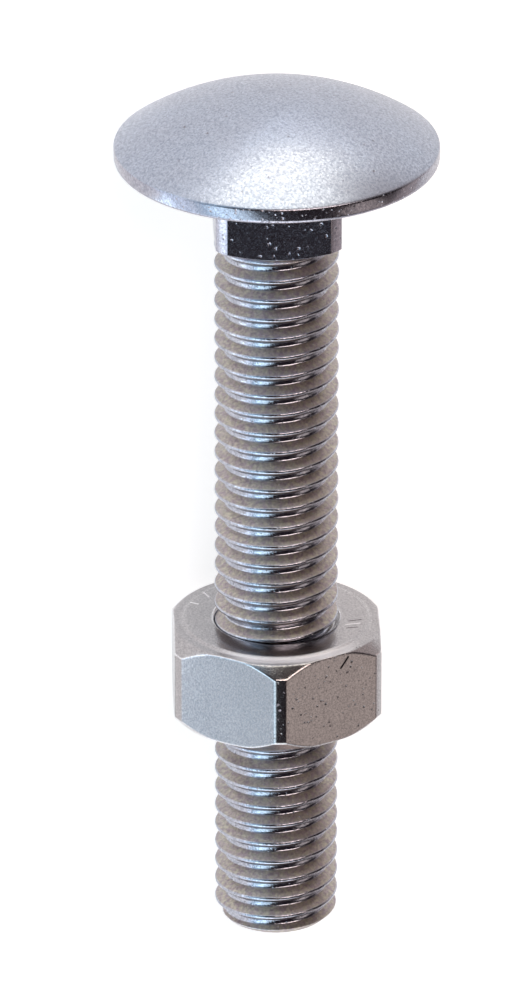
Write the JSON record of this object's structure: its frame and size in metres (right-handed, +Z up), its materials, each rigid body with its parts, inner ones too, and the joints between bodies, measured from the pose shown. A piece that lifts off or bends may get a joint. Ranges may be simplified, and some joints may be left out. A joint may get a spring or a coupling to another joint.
{
  "type": "carriage bolt with hex nut",
  "caption": "Metric carriage bolt with a shallow domed head, a square neck and a right-hand thread up to the neck, with its hex nut run part-way up the thread.",
  "frame": {"origin": "centre of the head's flat bearing face, on the bolt's axis", "axes": "+Z up with the bolt lying at rest on its head's rim and one edge of a nut flat; the shank runs towards +X and dips 5.43 degrees below it; the domed head is at -X"},
  "size_m": [0.0436, 0.0156, 0.0155],
  "materials": {
    "bolt_steel": "bright zinc-plated steel with a fine forged grain",
    "nut_steel": "bright zinc-plated steel, scratched and slightly pitted"
  },
  "bodies": {
    "bolt": {"carriage_bolt": "bolt_steel"},
    "nut": {"hex_nut": "nut_steel"}
  },
  "joints": [
    {"name": "nut_travel", "type": "slide", "parent": "bolt", "child": "nut", "axis": [-0.9955, 0, 0.0946], "range_m": [-0.016, 0.02]}
  ]
}
